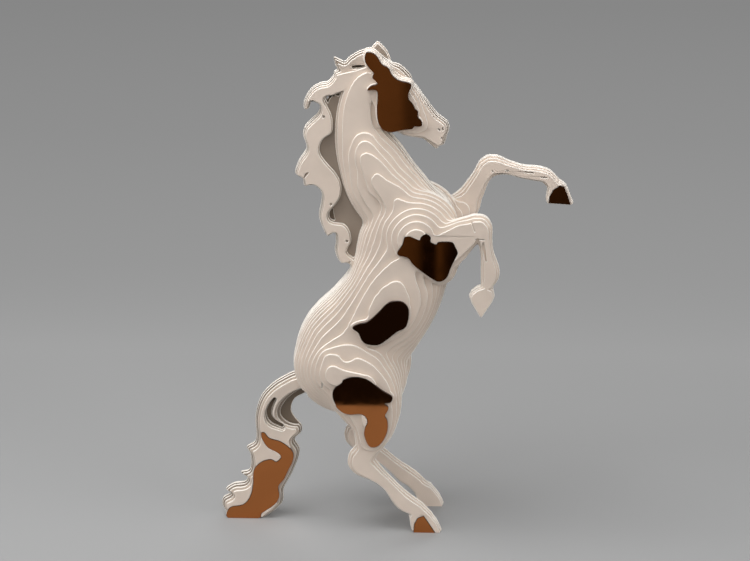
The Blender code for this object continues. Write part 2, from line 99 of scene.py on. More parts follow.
# %% Trunk, neck, thighs and arms
TORSO = {
    "trunk": [
        (54, 384, 42, 31, 0), (38, 362, 56, 38, 0), (32, 328, 58, 46, 0), (20, 292, 59, 50, 0),
        (-4, 256, 62, 47, 0), (-26, 228, 66, 45, 0), (-34, 206, 65, 45, 0),
    ],
    "neck": [
        (34, 398, 46, 29, 0), (10, 430, 45, 27, 0), (-2, 454, 41, 24, 0), (-14, 479, 34, 20, 0),
        (-20, 503, 28, 19, 0), (-20, 528, 24, 19, 0), (-15, 552, 20, 18, 0), (-6, 568, 13, 16, 0),
    ],
    "throat": [
        (36, 402, 30, 39, 0), (24, 422, 27, 36, 0), (10, 442, 26, 33, 0), (-5, 464, 24, 29, 0),
        (-11, 484, 21, 24, 0),
    ],
    "right_thigh": [
        (-24, 204, 52, 30, -26), (-8, 172, 42, 24, -32), (0, 146, 29, 19, -38), (-3, 122, 19, 15, -40),
    ],
    "left_thigh": [
        (-18, 206, 52, 30, 26), (2, 180, 38, 24, 32), (2, 148, 27, 19, 38), (-14, 122, 18, 15, 40),
    ],
    "right_arm": [(84, 364, 29, 18, -33), (104, 379, 19, 14, -38)],
    "left_arm": [(66, 380, 33, 20, 30), (86, 381, 22, 18, 33), (107, 393, 17, 14, 38)],
}
MOUNDS = {
    "right_shoulder": [(50, 376, 54, 34, -22), (62, 354, 42, 32, -23)],
    "left_shoulder": [(50, 378, 52, 34, 22), (60, 358, 42, 32, 22)],
    "right_haunch": [(-46, 206, 50, 40, -20), (-12, 196, 52, 40, -20)],
    "left_haunch": [(-34, 206, 58, 40, 20), (-6, 200, 50, 38, 20)],
}

# %% Head and legs
HEAD = [(8, 562, 20, 18, 0), (26, 532, 29, 26, 0), (41, 516, 25, 21, 0), (54, 507, 19, 17, 0)]
LEGS = {
    "right_foreleg": [
        (104, 379, 19, 12, -38), (124, 390, 15.5, 12, -38), (131, 374, 9.5, 12, -38),
        (134, 357, 8.5, 12, -38), (138, 334, 12, 12, -38), (135, 320, 8.5, 12, -38),
    ],
    "left_foreleg": [
        (107, 393, 17, 12, 38), (118, 413, 14, 12, 38), (127, 430, 11.5, 12, 38),
        (138, 443, 14, 12, 38), (158, 441, 9, 12, 38), (176, 436, 8.5, 12, 38),
        (192, 434, 9.5, 12, 38), (204, 431, 9, 12, 38), (213, 422, 9, 12, 38),
    ],
    "right_hind_leg": [
        (-3, 122, 18, 12, -40), (-8, 106, 14, 12, -40), (-15, 90, 17, 12, -40), (-1, 77, 12, 12, -40),
        (10, 68, 9.5, 12, -40), (21, 57, 9, 12, -40), (33, 42, 11.5, 12, -40), (41, 35, 12, 12, -40),
        (53, 28, 10, 12, -40), (62, 17, 11, 12, -40),
    ],
    "left_hind_leg": [
        (-14, 122, 17, 12, 40), (-22, 104, 13, 12, 40), (-25, 90, 14, 12, 40), (-8, 76, 11, 12, 40),
        (8, 64, 9.5, 12, 40), (22, 52, 9.5, 12, 40), (36, 40, 11.5, 12, 40), (47, 32, 11, 12, 40),
        (60, 18, 11, 12, 40),
    ],
}
print(len(TORSO) + len(MOUNDS) + len(LEGS) + 1, "strings of rounds")

# %% [markdown]
# ## Mane, forelock, ear and tail
#
# Hair on the real horse is flat: a few sheets with a curling outline, joined
# to the crest of the neck by narrower inner sheets. So hair is drawn as
# closed outlines instead of rounds, each with half its width, the Y of its
# middle and how far its edge rounds in towards the outer sheets.

# %% Outlines of the hair
MANE_ROOT = [
    (-46, 530, 10, 6, 0), (-50, 512, 9, 6, 0), (-54, 496, 11, 6, 0),
    (-56, 478, 13, 6, 0), (-48, 456, 13, 6, 0), (-38, 436, 13, 6, 0), (-34, 418, 15, 6, 0),
    (-34, 398, 19, 6, 0), (-30, 380, 17, 6, 0), (-26, 364, 12, 6, 0), (-24, 340, 11, 6, 0),
]
FLAT_FORMS = {
    "muzzle": (16, 0, 7, [
        (30, 530), (44, 536), (57, 538), (66, 527), (74, 517), (82, 511), (86, 507), (88, 500), (86, 493),
        (84, 486), (82, 480), (76, 477), (73, 474), (68, 477), (61, 483), (54, 488), (43, 491), (30, 494),
    ]),
    "mane": (14, 0, 5, [
        (-10, 574), (-44, 569), (-49, 562), (-55, 555), (-64, 553), (-73, 548), (-80, 539), (-84, 529),
        (-83, 521), (-78, 522), (-75, 530), (-69, 529), (-65, 525), (-67, 517), (-76, 508), (-83, 500),
        (-85, 489), (-81, 474), (-90, 459), (-95, 443), (-86, 436),
        (-84, 427), (-73, 428), (-64, 420), (-64, 408), (-67, 391), (-63, 376), (-57, 365), (-48, 369),
        (-47, 358), (-48, 346), (-42, 332), (-31, 330), (-25, 314), (-20, 322), (-22, 339), (-31, 348),
        (-26, 360), (-28, 374), (-36, 384), (-51, 387), (-53, 396), (-44, 406), (-38, 418), (-38, 433),
        (-45, 447), (-57, 461), (-63, 472), (-60, 484), (-49, 493), (-47, 505), (-49, 517), (-54, 528),
        (-57, 536), (-48, 538), (-38, 542), (-8, 550),
    ]),
    "forelock": (10, 0, 5, [
        (-48, 584), (-41, 581), (-35, 579), (-29, 585), (-14, 593), (2, 591), (18, 578), (26, 577),
        (36, 570), (43, 557), (20, 545), (-16, 545), (-38, 560), (-44, 570), (-47, 577),
    ]),
    "left_ear": (8, 12, 4, [
        (-9, 582), (-5, 592), (1, 599), (3, 600), (7, 597), (14, 589), (18, 577), (12, 562), (-4, 562),
    ]),
    "tail": (14, 0, 8, [
        (-86, 186), (-97, 191), (-112, 184), (-125, 175), (-137, 162), (-144, 146), (-147, 128),
        (-146, 110), (-148, 98), (-158, 91), (-154, 82), (-153, 70), (-156, 60), (-166, 57),
        (-158, 50), (-162, 44), (-175, 42), (-185, 34), (-179, 29), (-188, 23), (-190, 14),
        (-186, 5), (-182, -6), (-143, -6), (-130, 2), (-121, 10), (-114, 20), (-113, 36), (-103, 56),
        (-95, 76), (-93, 90), (-99, 102), (-91, 111), (-90, 120), (-98, 130), (-103, 141),
        (-98, 156), (-80, 168),
    ]),
}
TAIL_HOLLOWS = {
    "inner": [
        (-84, 170, 6, 14, 14), (-96, 161, 10, 14, 14), (-106, 149, 13, 14, 14), (-110, 137, 13, 14, 14),
        (-101, 127, 8, 14, 14), (-88, 125, 4, 14, 14),
    ],
    "outer": [
        (-122, 158, 3, 14, 14), (-127, 149, 5, 14, 14), (-130, 138, 6, 14, 14), (-126, 128, 7, 14, 14),
        (-114, 121, 5, 14, 14),
    ],
}

# %% Outlines of the hooves
HOOVES = {
    "right_fore_hoof": (12, -38, 3, [
        (113, 304), (116, 310), (122, 315), (131, 318), (142, 314), (144, 304), (141, 296), (129, 277),
        (126, 278), (116, 295),
    ]),
    "left_fore_hoof": (12, 38, 3, [
        (204, 402), (206, 418), (210, 425), (222, 426), (229, 420), (238, 398), (236, 396), (206, 397),
    ]),
    "right_hind_hoof": (12, -40, 3, [
        (43, 19), (45, 6), (48, -6), (82, -6), (84, 0), (77, 14), (67, 26), (56, 32), (46, 26),
    ]),
    "left_hind_hoof": (12, 40, 3, [
        (49, 15), (52, 4), (54, -6), (84, -6), (85, 2), (80, 13), (70, 26), (60, 31), (51, 24),
    ]),
}

# %% [markdown]
# ## Muscles
#
# Hollows behind the elbow, in front of the shoulder and at the flank show as
# places where the cut lines crowd or bend. Each muscle is a soft bump or dip
# in the side of the body. Rather than push points about, the cutting plane
# is moved out or in a little wherever the bump lies.

# %% Muscles and hollows
MUSCLES = [
    (22, 404, 20, -1.0), (-6, 352, 20, -2.0), (66, 326, 17, -4.0), (26, 230, 18, -4.0),
    (-6, 236, 16, -3.0), (-60, 240, 22, 2.5), (16, 190, 20, 2.0), (-20, 470, 15, 1.6),
    (-8, 436, 15, 2.2), (24, 450, 14, -2.0), (-58, 230, 10, 2.0), (-31, 226, 10, -3.5),
]

# %% [markdown]
# ## Small cuts
#
# The outer sheets carry holes, slots and grooves that were cut with the
# outline: nostrils and mouth, the holes for the dowels that lined the sheets
# up, and the hollows between the tendons. They are strings of rounds too,
# taken away instead of added, and blunt like the lower legs.

# %% Nostrils, dowel holes and grooves
CUTS = {
    "upper_nostril": [(75.4, 500.8, 1.3, 5, -14), (76.2, 499.8, 1.3, 5, -14)],
    "front_nostril": [(79.9, 501.8, 1.6, 5, -14), (80.1, 500.0, 1.6, 5, -14)],
    "lower_nostril": [(78.8, 490.4, 1.5, 5, -14), (79.6, 489.8, 1.5, 5, -14)],
    "mouth": [(57, 491, 0.9, 5, -14), (66, 485.5, 1.3, 5, -14), (74, 480, 1.3, 5, -14)],
    "mane_hole_1": [(-60, 515, 1.6, 4, -12), (-60, 514.4, 1.6, 4, -12)],
    "mane_hole_2": [(-52, 408, 1.6, 4, -12), (-52, 407.4, 1.6, 4, -12)],
    "mane_hole_3": [(-33, 362, 1.6, 4, -12), (-33, 361.4, 1.6, 4, -12)],
    "mane_hole_4": [(-30, 336, 1.6, 4, -12), (-30, 335.4, 1.6, 4, -12)],
    "mane_curl": [(-84, 439.5, 1.3, 4, -14), (-82, 443, 1.8, 4, -14), (-79, 446, 1.3, 4, -14)],
    "forelock_slot": [(-25, 573.5, 2.2, 8, -8), (-18, 574.0, 2.2, 8, -8), (-10, 575, 0.8, 8, -8)],
    "right_cannon": [(129, 372, 1.6, 6, -50), (131, 362, 1.8, 6, -50), (133, 350, 1.0, 6, -50)],
    "right_knee": [(120, 377, 1.0, 4, -50), (130, 377, 1.0, 4, -50)],
    "right_forearm": [(115, 398, 0.8, 4, -50), (119, 386, 0.8, 4, -50)],
    "left_knee_hole": [(140, 439, 1.4, 5, 26), (140, 438.4, 1.4, 5, 26)],
    "left_cannon_1": [(155, 440.4, 0.7, 5, 26), (159, 440, 0.7, 5, 26)],
    "left_cannon_2": [(178, 438, 1.0, 5, 26), (189, 437, 1.0, 5, 26)],
    "left_pastern": [(198, 432, 0.9, 5, 26), (205, 431, 0.9, 5, 26)],
    "left_cannon_3": [(6, 60, 2.0, 5, 26), (17, 47, 2.6, 5, 26), (28, 34, 2.0, 5, 26)],
    "left_fetlock": [(45, 28, 1.6, 5, 26), (47, 17, 2.0, 5, 26)],
    "haunch_slot": [(-62, 194, 0.8, 6, -44), (-62, 188, 0.8, 6, -44)],
}
print(len(CUTS), "small cuts")

# %% [markdown]
# ## Mirror plates
#
# The dark patches are flat plates of bronze-tinted mirror, each glued on a
# sheet that was cut wide enough to carry it. A plate needs the Y of its
# middle, the way it faces, how much wider each sheet below it becomes, how
# many sheets that takes, and its outline.

# %% Outlines of the mirror plates
RIGHT, LEFT = -1, 1
PATCHES = {
    "right_cheek": (-24, RIGHT, 0.9, 3, [
        (-9, 595), (-1, 594), (4, 589), (9, 581), (16, 577), (21, 568), (29, 562), (41, 559), (43, 555),
        (40, 547), (40, 540), (45, 534), (48, 528), (51, 525), (51, 518), (55, 514), (56, 509), (53, 507),
        (47, 507), (44, 504), (35, 503), (26, 501), (21, 500), (14, 501), (8, 505), (4, 514),
        (3, 528), (4, 547), (-1, 551), (-8, 550), (-4, 555), (4, 558), (-2, 565), (-1, 571), (-7, 578),
        (-11, 586),
    ]),
    "right_shoulder": (-48, RIGHT, 2.4, 4, [
        (28, 360), (34, 369), (37, 379), (44, 380), (54, 376), (56, 380), (61, 383), (67, 379), (67, 373),
        (74, 370), (77, 373), (92, 373), (96, 367), (99, 360), (96, 353), (91, 341), (87, 330), (81, 325),
        (74, 325), (59, 335), (47, 345), (42, 352), (36, 355), (30, 356),
    ]),
    "right_flank": (-52, RIGHT, 2.4, 3, [
        (-25, 266), (-18, 271), (-7, 274), (5, 285), (15, 296), (23, 300), (35, 299), (42, 289), (39, 269),
        (28, 262), (15, 251), (5, 245), (-8, 246), (-14, 251), (-18, 260),
    ]),
    "right_haunch": (-56, RIGHT, 2.0, 5, [
        (-49, 184), (-46, 191), (-38, 197), (-36, 201), (-29, 204), (-20, 205), (-10, 203), (-3, 199),
        (11, 188), (21, 182), (23, 178), (20, 173), (13, 172), (18, 167), (17, 162), (14, 156), (17, 149),
        (17, 137), (13, 126), (6, 117), (-2, 115), (-7, 119), (-11, 131), (-10, 140), (-7, 147), (-9, 154),
        (-16, 158), (-27, 157), (-36, 159), (-44, 166), (-45, 169), (-48, 176),
    ]),
    "right_hind_hoof": (-48, RIGHT, 1.0, 1, [(49, 0), (50, 11), (54, 19), (61, 22), (67, 13), (75, 0)]),
    "left_fore_hoof": (28, RIGHT, 1.0, 1, [
        (208, 400), (209, 408), (213, 416), (220, 421), (226, 420), (230, 409), (234, 398),
    ]),
    "tail": (-12, RIGHT, 0.5, 1, [
        (-139, 114), (-135, 114), (-129, 107), (-116, 103), (-105, 95), (-100, 87), (-101, 77), (-107, 64),
        (-112, 53), (-119, 43), (-118, 30), (-124, 19), (-140, 7), (-145, 0), (-182, 0), (-179, 14),
        (-163, 18), (-154, 29), (-150, 46), (-149, 64), (-140, 75), (-128, 79), (-121, 76), (-115, 82),
        (-119, 88), (-131, 95), (-138, 106),
    ]),
    "left_cheek": (24, LEFT, 0.9, 3, [
        (0, 548), (12, 560), (28, 556), (42, 540), (46, 522), (34, 508), (14, 508), (4, 524),
    ]),
    "left_shoulder": (48, LEFT, 2.4, 4, [
        (30, 366), (46, 384), (68, 388), (86, 378), (84, 356), (66, 342), (44, 346),
    ]),
    "left_flank": (52, LEFT, 2.4, 3, [
        (-22, 264), (-8, 284), (14, 296), (34, 288), (28, 268), (8, 250), (-12, 250),
    ]),
    "left_haunch": (56, LEFT, 2.0, 4, [
        (-56, 196), (-40, 212), (-14, 212), (6, 196), (10, 176), (-8, 162), (-36, 164),
    ]),
}
STRAIGHT_PATCHES = ("right_hind_hoof", "left_fore_hoof")

# %% [markdown]
# ## A grid to cut on
#
# To find an outline, the plane of one sheet is covered with a fine grid. Each
# grid point gets the distance to the nearest edge of the horse, below zero
# inside it. Such distance fields can be joined with soft fillets, which is
# how the neck flows into the chest. A mesh boolean would leave hard seams.

# %% The grid
CELL = 1.0
FAR_AWAY = 80.0
REACH = 24.0
LENGTH_RANGE = (-210, 256)
HEIGHT_RANGE = (-6, 616)
grid_x = np.arange(*LENGTH_RANGE, CELL)
grid_z = np.arange(*HEIGHT_RANGE, CELL)
GRID = np.meshgrid(grid_x, grid_z, indexing="ij")
print("grid of", GRID[0].size, "points")


def window(low_x, high_x, low_z, high_z):
    """The part of the grid around a box."""
    x_first, x_last = np.searchsorted(grid_x, [low_x - REACH, high_x + REACH])
    z_first, z_last = np.searchsorted(grid_z, [low_z - REACH, high_z + REACH])
    return slice(x_first, x_last), slice(z_first, z_last)


# %% [markdown]
# Both the strings of rounds and the hair outlines are given by few points, so
# a smooth curve is run through them first. A Catmull-Rom curve passes through
# every point that was typed, which a Bezier with free handles would not.

# %% A smooth curve
CURVE_STEPS = 4


def smooth_curve(rows, closed):
    """Rows along a smooth curve through the given rows."""
    rows = np.array(rows, float)
    if closed:
        ring = np.vstack([rows[-1:], rows, rows[:2]])
    else:
        ring = np.vstack([2 * rows[:1] - rows[1:2], rows, 2 * rows[-1:] - rows[-2:-1]])
    out = []
    for before, start, end, after in zip(ring, ring[1:], ring[2:], ring[3:]):
        for t in np.arange(CURVE_STEPS) / CURVE_STEPS:
            out.append(0.5 * (2 * start + (end - before) * t
                              + (2 * before - 5 * start + 4 * end - after) * t ** 2
                              + (3 * start - before - 3 * end + after) * t ** 3))
    if not closed:
        out.append(rows[-1])
    return np.array(out)


# %% [markdown]
# Now the distance fields themselves: one for a string of rounds in the plane
# at a given Y, and one for a closed outline.

# %% Distance fields
SECTION_FULLNESS = 2.4
MOUND_FULLNESS = 1.35
HOLLOW_FULLNESS = 1.3
LEG_TAPER = 0.55
TAPER_FULLNESS = 1.2


def distance_to_edge(x, z, start, end):
    """Distance to a straight edge, and how far along it the nearest place is."""
    run_x, run_z = end[0] - start[0], end[1] - start[1]
    along = np.clip(((x - start[0]) * run_x + (z - start[1]) * run_z) / (run_x ** 2 + run_z ** 2), 0, 1)
    return np.hypot(x - start[0] - along * run_x, z - start[1] - along * run_z), along


def string_field(stations, radius):
    """Distance to the outline around a string of rounds, below zero inside."""
    field = np.full(GRID[0].shape, FAR_AWAY)
    if radius.max() < -REACH:
        return field
    widest = stations[:, 2].max()
    part = window(stations[:, 0].min() - widest, stations[:, 0].max() + widest,
                  stations[:, 1].min() - widest, stations[:, 1].max() + widest)
    x, z = GRID[0][part], GRID[1][part]
    nearest = np.full(x.shape, FAR_AWAY)
    for start, end, start_radius, end_radius in zip(stations, stations[1:], radius, radius[1:]):
        if max(start_radius, end_radius) > -REACH:
            away, along = distance_to_edge(x, z, start, end)
            nearest = np.minimum(nearest, away - start_radius - (end_radius - start_radius) * along)
    field[part] = nearest
    return field


def limb_field(rows, y, fullness=SECTION_FULLNESS):
    """A limb in the plane at y. Its radius goes on below zero beyond its half width."""
    stations = smooth_curve(rows, closed=False)
    share = 1.0 - (np.abs(y - stations[:, 4]) / stations[:, 3]) ** fullness
    return string_field(stations, stations[:, 2] * np.sign(share) * np.abs(share) ** (1.0 / fullness))


def leg_field(rows, y):
    """A lower leg in the plane at y. It tapers little, and ends flat on both sides."""
    stations = smooth_curve(rows, closed=False)
    share = np.abs(y - stations[:, 4]) / stations[:, 3]
    radius = np.where(share < 1, stations[:, 2] * (1 - LEG_TAPER * share ** TAPER_FULLNESS), -FAR_AWAY)
    return string_field(stations, radius)


def outline_field(ring):
    """Distance to a closed outline, below zero inside."""
    field = np.full(GRID[0].shape, FAR_AWAY)
    part = window(*(limit for axis in ring.T for limit in (axis.min(), axis.max())))
    x, z = GRID[0][part], GRID[1][part]
    nearest = np.full(x.shape, FAR_AWAY)
    inside = np.zeros(x.shape, bool)
    for start, end in zip(ring, np.roll(ring, -1, axis=0)):
        nearest = np.minimum(nearest, distance_to_edge(x, z, start, end)[0])
        if start[1] != end[1]:
            crosses = (start[1] > z) != (end[1] > z)
            inside ^= crosses & (x < start[0] + (z - start[1]) * (end[0] - start[0]) / (end[1] - start[1]))
    field[part] = np.where(inside, -nearest, nearest)
    return field


# %% [markdown]
# ## Cutting the body at one plane
#
# The torso is the soft union of its strings of rounds. Where a muscle stands
# out, the plane shows the outline that a plane nearer the middle would have,
# so the torso is cut at planes 2 units apart and mixed between them. Two
# sheets share most of those planes, so each is worked out once and kept.

# %% The torso in a plane
FLESH_BLEND = 7.0
MUSCLE_STEP = 2.0
MUSCLE_ONSET = 12.0
torso_planes = {}


def blend(first, second, reach):
    """Union of two fields, with a fillet where they meet."""
    dip = np.clip(reach - np.abs(first - second), 0, None) / reach
    return np.minimum(first, second) - dip ** 2 * reach / 4


def smooth_torso(y):
    """Trunk, neck, thighs and arms in the plane at y, before their muscles."""
    if y not in torso_planes:
        fields = [limb_field(rows, y) for rows in TORSO.values()]
        fields += [limb_field(rows, y, MOUND_FULLNESS) for rows in MOUNDS.values()]
        torso = fields[0]
        for field in fields[1:]:
            torso = blend(torso, field, FLESH_BLEND)
        torso_planes[y] = torso
    return torso_planes[y]


def muscle_relief():
    """How far the muscles stand out of the body, sideways."""
    relief = np.zeros(GRID[0].shape)
    for x, z, reach, height in MUSCLES:
        relief += height * np.exp(-((GRID[0] - x) ** 2 + (GRID[1] - z) ** 2) / reach ** 2)
    return relief


relief = muscle_relief()


def torso_field(y):
    """The torso with its muscles in the plane at y."""
    outward = MUSCLE_STEP if y >= 0 else -MUSCLE_STEP
    here, inner, outer = (smooth_torso(place) for place in (y, y - outward, y + outward))
    share = relief / MUSCLE_STEP * min(1.0, abs(y) / MUSCLE_ONSET)
    return here + np.where(share > 0, (inner - here) * share, (here - outer) * share)


# %% [markdown]
# ## One whole sheet
#
# Head, legs, hooves and hair join the torso, the tail gets its hollows, and
# the sheets under a mirror plate are widened to carry it. The plate's own
# layer and those above it stay clear of the plate.

# %% Everything that a sheet's outline is made of
LOCK_BLEND = 2.0
PLATE_CLEARANCE = 0.6
FLAT_FULLNESS = 1.4


def patch_ring(name):
    """A mirror plate's outline."""
    corners = PATCHES[name][4]
    if name in STRAIGHT_PATCHES:
        return np.array(corners, float)
    return np.maximum(smooth_curve(corners, closed=True), (-math.inf, 0.0))


flat_fields = {name: outline_field(smooth_curve(form[3], True)) for name, form in FLAT_FORMS.items()}
hoof_fields = {name: outline_field(np.array(form[3], float)) for name, form in HOOVES.items()}
patch_fields = {name: outline_field(patch_ring(name)) for name in PATCHES}


def flat_inset(y, half_width, middle, rounding):
    """How far in the edge of a flat form lies in the plane at y, or None beside the form."""
    share = abs(y - middle) / half_width
    if share >= 1:
        return None
    return rounding * share ** FLAT_FULLNESS


def add_flat_forms(field, forms, fields, y):
    """Joins the hair or the hooves that reach the plane at y."""
    for name, (half_width, middle, rounding, _) in forms.items():
        inset = flat_inset(y, half_width, middle, rounding)
        if inset is not None:
            field = blend(field, fields[name] + inset, LOCK_BLEND)
    return field


def seat_plates(field, index):
    """Widens the sheets under each mirror plate, and clears the plate's own layer."""
    for name, (y, facing, spread, count, _) in PATCHES.items():
        plate_index = round(y / PITCH)
        below = (plate_index - index) * facing
        if 1 <= below <= count:
            field = blend(field, patch_fields[name] - spread * below, LOCK_BLEND)
        elif below <= 0 and facing * index > facing * plate_index - 1:
            field = np.maximum(field, PLATE_CLEARANCE - patch_fields[name])
    return field


def sheet_field(index):
    """The field of one whole sheet, cut flat at the ground."""
    y = index * PITCH
    field = torso_field(y)
    field = blend(field, limb_field(HEAD, y), FLESH_BLEND)
    for rows in LEGS.values():
        field = blend(field, leg_field(rows, y), FLESH_BLEND)
    field = add_flat_forms(field, HOOVES, hoof_fields, y)
    field = blend(field, limb_field(MANE_ROOT, y), LOCK_BLEND)
    field = add_flat_forms(field, FLAT_FORMS, flat_fields, y)
    for rows in TAIL_HOLLOWS.values():
        field = np.maximum(field, -limb_field(rows, abs(y), HOLLOW_FULLNESS))
    for rows in CUTS.values():
        field = np.maximum(field, -leg_field(rows, y))
    return np.maximum(seat_plates(field, index), -GRID[1])


# %% [markdown]
# ## From field to outline
#
# The outline runs where the field crosses zero. Marching squares looks at
# each small square of the grid, finds which of its corners are inside, and
# joins the crossings into closed rings. Points that the curve doesn't need
# are then dropped.

# %% Marching squares
CELL_CASES = {
    1: [(0, 3)], 2: [(1, 0)], 3: [(1, 3)], 4: [(2, 1)], 5: [(0, 3), (2, 1)], 6: [(2, 0)], 7: [(2, 3)],
    8: [(3, 2)], 9: [(0, 2)], 10: [(1, 0), (3, 2)], 11: [(1, 2)], 12: [(3, 1)], 13: [(0, 1)], 14: [(3, 0)],
}


def trace(field):
    """Closed outlines where the field crosses zero, anticlockwise around the inside."""
    inside = field < 0
    cases = inside[:-1, :-1] + 2 * inside[1:, :-1] + 4 * inside[1:, 1:] + 8 * inside[:-1, 1:]
    following = {}
    places = {}
    for i, j in zip(*np.nonzero((cases > 0) & (cases < 15))):
        edges = [
            ((i, j), (i + 1, j)), ((i + 1, j), (i + 1, j + 1)),
            ((i, j + 1), (i + 1, j + 1)), ((i, j), (i, j + 1)),
        ]
        for first, second in CELL_CASES[cases[i, j]]:
            following[edges[first]] = edges[second]
    for low, high in following:
        share = field[low] / (field[low] - field[high])
        places[low, high] = (
            grid_x[0] + (low[0] + (high[0] - low[0]) * share) * CELL,
            grid_z[0] + (low[1] + (high[1] - low[1]) * share) * CELL,
        )
    rings = []
    while following:
        edge = next(iter(following))
        ring = []
        while edge in following:
            ring.append(places[edge])
            edge = following.pop(edge)
        rings.append(np.array(ring))
    return rings


# %% Rings, areas and islands
OUTLINE_TOLERANCE = 0.07
CLOSEST_POINTS = 0.1
SMALLEST_ISLAND = 60.0
SMALLEST_HOLE = 1.5
NO_LENGTH = 1e-9


def ring_area(ring):
    """Area inside a closed ring, below zero for a hole."""
    x, z = ring.T
    return 0.5 * float(np.sum(x * np.roll(z, -1) - z * np.roll(x, -1)))


def simplified(ring, tolerance):
    """The ring with only the corners that its shape needs."""
    ring = np.roll(ring, -int(np.argmin(ring[:, 0])), axis=0)
    farthest = int(np.argmax(np.hypot(*(ring - ring[0]).T)))
    closed = np.vstack([ring, ring[:1]])
    kept = {0, farthest}
    spans = [(0, farthest), (farthest, len(ring))]
    while spans:
        first, last = spans.pop()
        if last - first < 2:
            continue
        between = closed[first + 1:last]
        away = distance_to_edge(between[:, 0], between[:, 1], closed[first], closed[last] + NO_LENGTH)[0]
        middle = first + 1 + int(np.argmax(away))
        if away.max() > tolerance:
            kept.add(middle)
            spans += [(first, middle), (middle, last)]
    return ring[sorted(kept)]


def spaced(ring):
    """The ring without points that almost touch the one before them."""
    step = np.hypot(*(ring - np.roll(ring, 1, axis=0)).T)
    return ring[step > CLOSEST_POINTS]


def contains(ring, place):
    """Whether a place lies inside a ring."""
    inside = False
    for (ax, az), (bx, bz) in zip(ring, np.roll(ring, -1, axis=0)):
        if (az > place[1]) != (bz > place[1]) and place[0] < ax + (place[1] - az) * (bx - ax) / (bz - az):
            inside = not inside
    return inside


def islands(field):
    """The separate islands of a sheet, each as its outline and its holes."""
    rings = [ring for ring in trace(field) if abs(ring_area(ring)) > SMALLEST_HOLE]
    rings = [simplified(spaced(ring), OUTLINE_TOLERANCE) for ring in rings]
    outers = [ring for ring in rings if ring_area(ring) > SMALLEST_ISLAND]
    holes = [ring for ring in rings if ring_area(ring) < 0]
    return [(outer, [hole for hole in holes if contains(outer, hole[0])]) for outer in outers]


# %% [markdown]
# ## From outline to board
#
# A board is its outline drawn twice, once on each face, with walls between.
# A cut and painted edge is never knife sharp, so the outline on each face is
# drawn about half a millimetre in, and a narrow slope runs out to the wall.
# That slope catches the light, as the broken edge does on the real sheets.
# The Bevel modifier would do the same, but trips over tight corners.

# %% A board from rings
SHARPEST_CORNER = 0.6
FACE_AREA_SLACK = 1.0


def inset_ring(ring, distance):
    """The ring moved inward, away from its walls."""
    run = np.roll(ring, -1, axis=0) - ring
    run /= np.maximum(np.hypot(*run.T), NO_LENGTH)[:, None]
    normal = np.stack([-run[:, 1], run[:, 0]], axis=1)
    both = normal + np.roll(normal, 1, axis=0)
    both /= np.maximum(np.hypot(*both.T), SHARPEST_CORNER)[:, None]
    return ring + both * distance


def board_mesh(name, shapes, middle_y, thickness, edge_break, shift):
    """A mesh of flat boards, each with a broken edge."""
    points, faces, smooth, wall = [], [], [], []
    near, far = middle_y - thickness / 2, middle_y + thickness / 2
    for rings in shapes:
        insets = [inset_ring(ring, edge_break) for ring in rings]
        first = len(points)
        count = sum(len(ring) for ring in rings)
        layers = (insets, near), (rings, near + edge_break), (rings, far - edge_break), (insets, far)
        for group, y in layers:
            points += [((x + shift) * UNIT, y * UNIT, z * UNIT) for ring in group for x, z in ring]
        flat = np.vstack(rings)
        covered = 0.0
        for corners in tessellate_polygon([[Vector((x, z, 0.0)) for x, z in ring] for ring in rings]):
            a, b, c = (flat[i] for i in corners)
            twice = (b[0] - a[0]) * (c[1] - a[1]) - (b[1] - a[1]) * (c[0] - a[0])
            covered += abs(twice) / 2
            if twice < 0:
                corners = corners[::-1]
            faces.append([first + i for i in corners])
            faces.append([first + 3 * count + i for i in reversed(corners)])
            smooth += [False, False]
            wall += [0, 0]
        missed = sum(ring_area(ring) for ring in rings) - covered
        if abs(missed) > FACE_AREA_SLACK:
            print(name, "has", round(missed, 1), "square millimetres of its face missing")
        start = first
        for ring in rings:
            for i in range(len(ring)):
                a, b = start + i, start + (i + 1) % len(ring)
                for layer in range(3):
                    low, high = layer * count, (layer + 1) * count
                    faces.append([a + low, a + high, b + high, b + low])
                    smooth.append(layer == 1)
                    wall.append(1)
            start += len(ring)
    mesh = bpy.data.meshes.new(name)
    mesh.from_pydata(points, [], faces)
    mesh.polygons.foreach_set("use_smooth", smooth)
    mesh.polygons.foreach_set("material_index", wall)
    mesh.update()
    return mesh


def add_piece(name, mesh, materials, replaced):
    """Puts a mesh into the scene as a piece of the horse that stands for CAD nodes."""
    piece = bpy.data.objects.new(name, mesh)
    bpy.context.collection.objects.link(piece)
    for material in materials:
        mesh.materials.append(material)
    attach(piece, "root")
    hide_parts(*replaced)


# %% [markdown]
# ## Cream paint
#
# The board is sprayed with a matte cream paint. Close up it has a fine grain,
# and its tone is a little uneven. The cut edges are a lighter cream, a painted
# highlight for the light they catch, and are rougher. Noise textures drive
# colour, roughness and bump, and all follow the object, so the finish doesn't
# slide. The faces of the innermost sheets are painted darker towards the middle
# plane of the horse, as painted shade at the bottom of the hollows.

# %% Helpers for materials
def new_material(name):
    """An empty material with its Principled shader."""
    material = bpy.data.materials.new(name)
    material.use_nodes = True
    return material, material.node_tree, material.node_tree.nodes["Principled BSDF"]


def noise(tree, scale, detail):
    """A noise texture that follows the object."""
    place = tree.nodes.new("ShaderNodeTexCoord")
    texture = tree.nodes.new("ShaderNodeTexNoise")
    texture.inputs["Scale"].default_value = scale
    texture.inputs["Detail"].default_value = detail
    tree.links.new(place.outputs["Object"], texture.inputs["Vector"])
    return texture.outputs["Fac"]


def along_axis(tree, space, axis):
    """A surface's own coordinate along one axis."""
    place = tree.nodes.new("ShaderNodeTexCoord")
    axes = tree.nodes.new("ShaderNodeSeparateXYZ")
    tree.links.new(place.outputs[space], axes.inputs["Vector"])
    return axes.outputs[axis]


